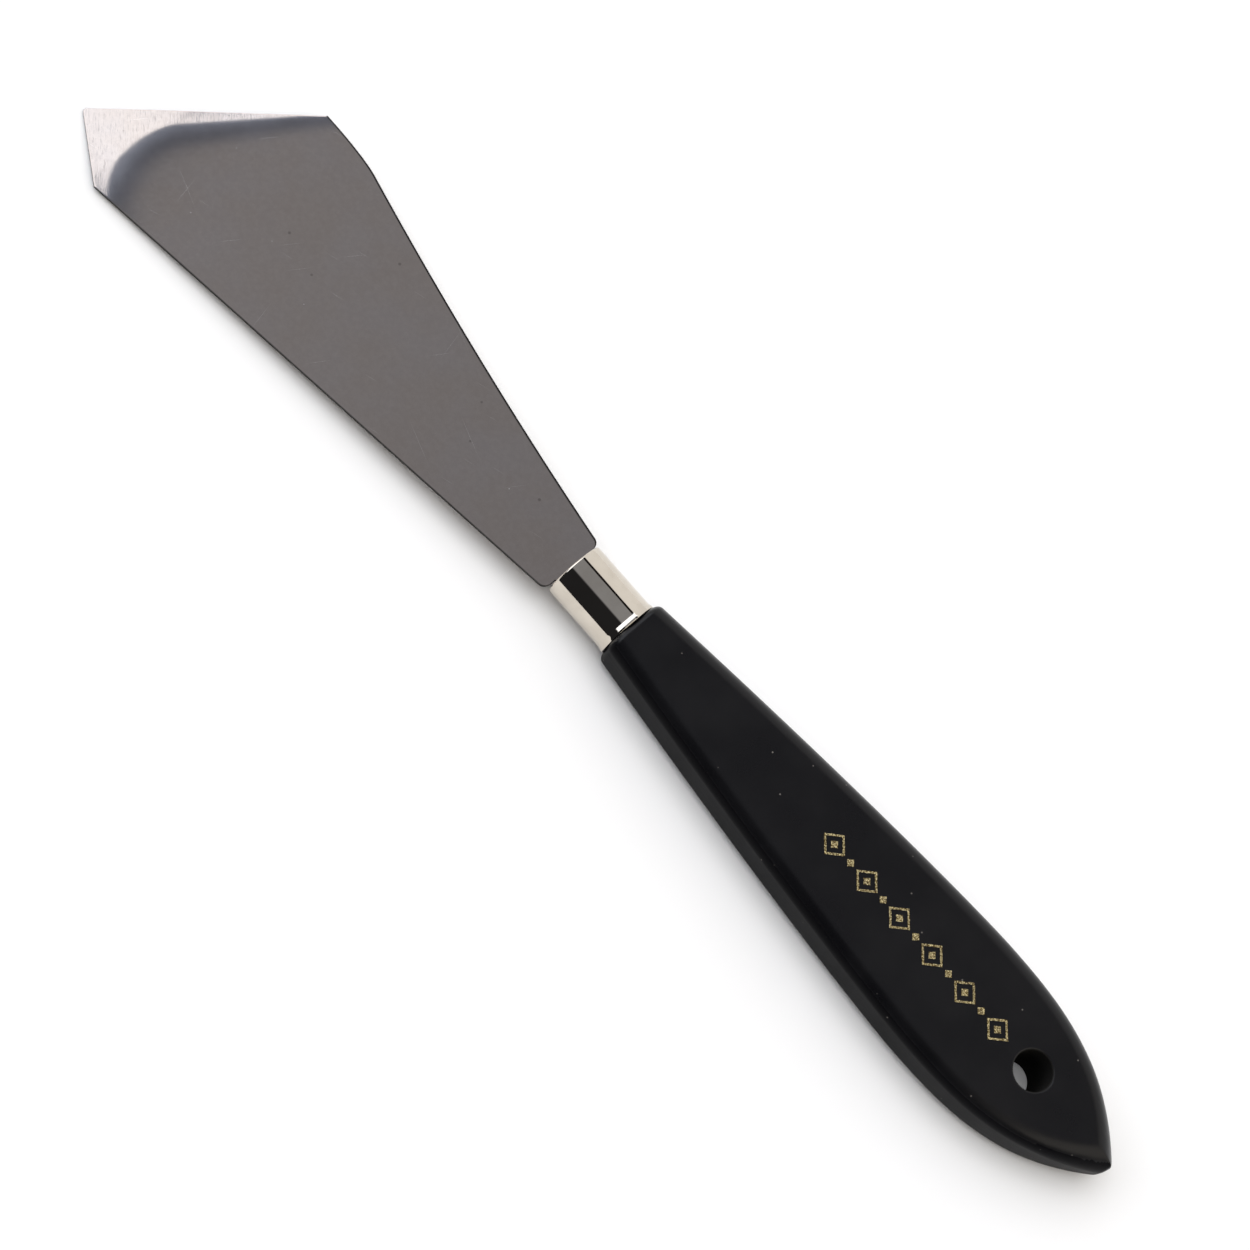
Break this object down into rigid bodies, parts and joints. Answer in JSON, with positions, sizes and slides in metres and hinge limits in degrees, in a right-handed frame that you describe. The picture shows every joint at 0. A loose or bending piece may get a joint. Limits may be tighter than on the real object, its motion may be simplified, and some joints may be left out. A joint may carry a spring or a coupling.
{
  "type": "palette knife",
  "caption": "Painting knife with a springy lopsided trowel blade, a bright ferrule and a flat black lacquered wooden handle with a hang hole.",
  "frame": {"origin": "centre of the hang hole, halfway through the handle's thickness", "axes": "+X from the hang hole to the blade's tip, +Y to the blade's long edge, +Z out of the handle's stamped upper flat"},
  "size_m": [0.2227, 0.037, 0.0104],
  "materials": {
    "black_lacquer": "satin black lacquer over wood",
    "nickel": "polished nickel plate",
    "blade_steel": "satin rolled stainless steel, ground at the slanted edge",
    "tang_steel": "dull rolled steel",
    "epoxy": "cured amber adhesive",
    "gold_foil": "hot-stamped gold foil"
  },
  "bodies": {
    "handle": {"handle": "black_lacquer", "ferrule": "nickel", "tang": "tang_steel", "tang_glue": "epoxy", "foil_ornament": "gold_foil"},
    "blade": {"blade": "blade_steel"}
  },
  "joints": [
    {"name": "blade_flex", "type": "hinge", "parent": "handle", "child": "blade", "pos_m": [0.1007, 0, 0], "axis": [0, 1, 0], "range_deg": [-25, 25], "stiffness_Nm_per_rad": 2.2}
  ]
}
